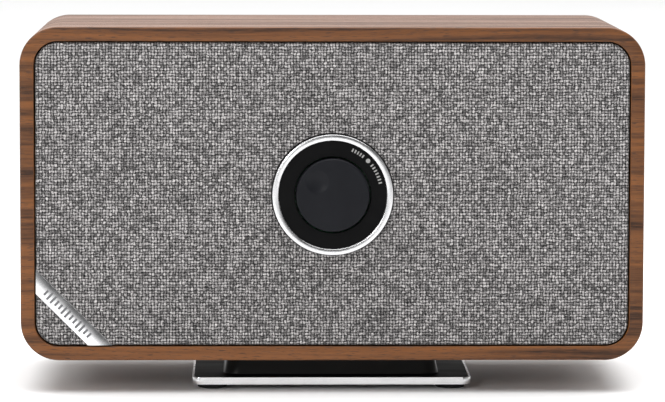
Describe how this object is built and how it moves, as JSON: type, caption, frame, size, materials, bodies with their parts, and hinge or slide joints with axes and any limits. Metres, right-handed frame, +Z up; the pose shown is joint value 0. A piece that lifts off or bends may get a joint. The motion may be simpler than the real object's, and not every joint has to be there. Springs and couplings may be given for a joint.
{
  "type": "tabletop radio",
  "caption": "Wood-veneered tabletop radio with a cloth grille, a central push-and-turn dial, full-range drivers, a rear bass port and connections, on a low metal stand.",
  "frame": {"origin": "bottom centre of the overall box, on the surface that the radio's feet stand on", "axes": "+X to the right seen from the front, +Y to the back, +Z up; the grille and dial face -Y"},
  "size_m": [0.31, 0.1436, 0.1827],
  "materials": {
    "walnut_veneer": "matt lacquered walnut veneer, grain running round the cabinet",
    "baffle_board": "black-stained fibreboard",
    "rear_panel_black": "fine textured black",
    "black_screw": "black",
    "grille_plastic": "moulded black",
    "grille_cloth": "grey melange plain weave",
    "socket_rubber": "black",
    "badge_metal": "satin with a bright bevel",
    "badge_inlay": "dark grey",
    "ring_metal": "satin",
    "fascia_black": "satin black",
    "mark_white": "white",
    "circuit_board": "green solder mask",
    "component_black": "moulded black",
    "encoder_metal": "nickel plate",
    "plunger_plastic": "natural",
    "knob_grey": "satin dark grey",
    "basket_paint": "black",
    "magnet_dark": "ferrite and plated steel",
    "surround_rubber": "black",
    "spider_cloth": "resin-stiffened cotton",
    "cone_paper": "coated paper",
    "coil_copper": "enamelled copper",
    "terminal_board": "laminated board",
    "zinc_screw": "zinc plate",
    "sink_aluminium": "extruded",
    "button_grey": "grey",
    "lead_red": "insulated lead",
    "ribbon_grey": "flat cable",
    "plate_metal": "satin with a bright edge",
    "plate_top_black": "gloss black",
    "neck_black": "satin black",
    "insert_brass": "turned"
  },
  "bodies": {
    "cabinet": {"cabinet_sleeve": "walnut_veneer", "front_baffle": "baffle_board", "rear_batten_frame": "baffle_board", "rear_panel": "rear_panel_black", "rear_panel_screws": "black_screw", "port_tube": "rear_panel_black", "grille_frame": "grille_plastic", "grille_cloth": "grille_cloth", "grille_sockets": "socket_rubber", "badge": "badge_metal", "badge_inlay": "badge_inlay", "dial_ring": "ring_metal", "dial_fascia": "fascia_black", "source_marks": "mark_white", "light_guide": "mark_white", "dial_housing": "grille_plastic", "encoder_board": "circuit_board", "indicator_leds": "mark_white", "encoder_body": "encoder_metal", "driver_basket_left": "basket_paint", "driver_basket_right": "basket_paint", "driver_motor_left": "magnet_dark", "driver_motor_right": "magnet_dark", "driver_surround_left": "surround_rubber", "driver_surround_right": "surround_rubber", "driver_spider_left": "spider_cloth", "driver_spider_right": "spider_cloth", "driver_terminals": "terminal_board", "baffle_screws": "zinc_screw", "amplifier_board": "circuit_board", "amplifier_chip": "component_black", "heat_sink": "sink_aluminium", "capacitors": "component_black", "wireless_module": "encoder_metal", "board_pillars": "zinc_screw", "board_screws": "zinc_screw", "connection_tray": "rear_panel_black", "power_socket": "component_black", "audio_socket": "component_black", "usb_socket": "encoder_metal", "network_socket": "encoder_metal", "setup_switch": "grille_plastic", "speaker_leads": "lead_red", "dial_ribbon": "ribbon_grey", "stand_plate": "plate_metal", "stand_top_panel": "plate_top_black", "stand_neck": "neck_black", "stand_feet": "socket_rubber", "stand_screws": "zinc_screw", "threaded_inserts": "insert_brass"},
    "press": {"encoder_plunger": "plunger_plastic"},
    "dial": {"encoder_shaft": "encoder_metal", "dial_knob": "knob_grey"},
    "setup": {"setup_button": "button_grey"},
    "cone_left": {"driver_cone_left": "cone_paper", "driver_dust_cap_left": "cone_paper", "driver_coil_left": "coil_copper"},
    "cone_right": {"driver_cone_right": "cone_paper", "driver_dust_cap_right": "cone_paper", "driver_coil_right": "coil_copper"}
  },
  "joints": [
    {"name": "dial_press", "type": "slide", "parent": "cabinet", "child": "press", "axis": [0, 1, 0], "range_m": [0, 0.0008], "stiffness_N_per_m": 1500, "springref_m": -0.001},
    {"name": "dial_turn", "type": "hinge", "parent": "press", "child": "dial", "pos_m": [0, -0.06625, 0.0997], "axis": [0, 1, 0], "continuous": true},
    {"name": "setup_press", "type": "slide", "parent": "cabinet", "child": "setup", "axis": [0, -1, 0], "range_m": [0, 0.0005], "stiffness_N_per_m": 1500, "springref_m": -0.0007},
    {"name": "cone_left_travel", "type": "slide", "parent": "cabinet", "child": "cone_left", "axis": [0, -1, 0], "range_m": [-0.0025, 0.0025], "stiffness_N_per_m": 2000, "deforming": ["driver_surround_left", "driver_spider_left"]},
    {"name": "cone_right_travel", "type": "slide", "parent": "cabinet", "child": "cone_right", "axis": [0, -1, 0], "range_m": [-0.0025, 0.0025], "stiffness_N_per_m": 2000, "deforming": ["driver_surround_right", "driver_spider_right"]}
  ]
}
